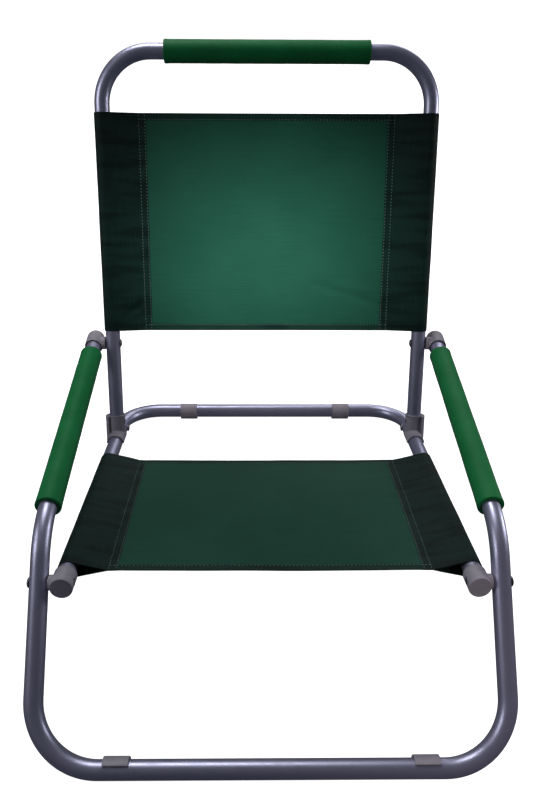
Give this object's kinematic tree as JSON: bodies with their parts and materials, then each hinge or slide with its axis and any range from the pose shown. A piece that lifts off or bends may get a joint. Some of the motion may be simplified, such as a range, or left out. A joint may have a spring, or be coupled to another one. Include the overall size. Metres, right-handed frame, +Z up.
{
  "type": "folding beach chair",
  "caption": "Low folding beach chair with bent steel tube frames, green fabric back and seat slings, foam arm and carry grips and grey plastic pivot caps, saddles and foot clips.",
  "frame": {"origin": "on the floor, under the middle of the chair's bounding box", "axes": "+Z up, the chair faces -Y, X runs across the chair and left is -X"},
  "size_m": [0.5674, 0.7856, 0.5763],
  "materials": {
    "frame_steel": "satin silver-grey powder coat on steel tube",
    "rivet_steel": "plain zinc-plated rivet heads",
    "grey_plastic": "warm grey moulded plastic, fine texture",
    "grip_foam": "bright green closed-cell foam tube, dull skin",
    "sling_fabric": "dark green coated woven polyester, fine oxford weave"
  },
  "bodies": {
    "arm_leg_frame": {"arm_leg_frame_tube": "frame_steel", "left_arm_foam": "grip_foam", "right_arm_foam": "grip_foam", "left_arm_cap": "grey_plastic", "right_arm_cap": "grey_plastic", "left_front_foot_clip": "grey_plastic", "right_front_foot_clip": "grey_plastic", "left_arm_pivot_rivet": "rivet_steel", "right_arm_pivot_rivet": "rivet_steel", "left_seat_pivot_rivet": "rivet_steel", "right_seat_pivot_rivet": "rivet_steel"},
    "back_frame": {"back_frame_tube": "frame_steel", "back_fabric": "sling_fabric", "top_grip_foam": "grip_foam", "left_back_saddle": "grey_plastic", "right_back_saddle": "grey_plastic", "left_saddle_rivet": "rivet_steel", "right_saddle_rivet": "rivet_steel"},
    "seat_frame": {"seat_frame_tube": "frame_steel", "seat_fabric": "sling_fabric", "left_seat_cap": "grey_plastic", "right_seat_cap": "grey_plastic", "left_rear_foot_clip": "grey_plastic", "right_rear_foot_clip": "grey_plastic", "left_rail_pin": "rivet_steel", "right_rail_pin": "rivet_steel"}
  },
  "joints": [
    {"name": "back_fold", "type": "hinge", "parent": "arm_leg_frame", "child": "back_frame", "pos_m": [0, 0.20034, 0.1782], "axis": [1, 0, 0], "range_deg": [0, 112]},
    {"name": "seat_fold", "type": "hinge", "parent": "arm_leg_frame", "child": "seat_frame", "pos_m": [0, -0.23022, 0.14543], "axis": [-1, 0, 0], "range_deg": [0, 110]}
  ]
}
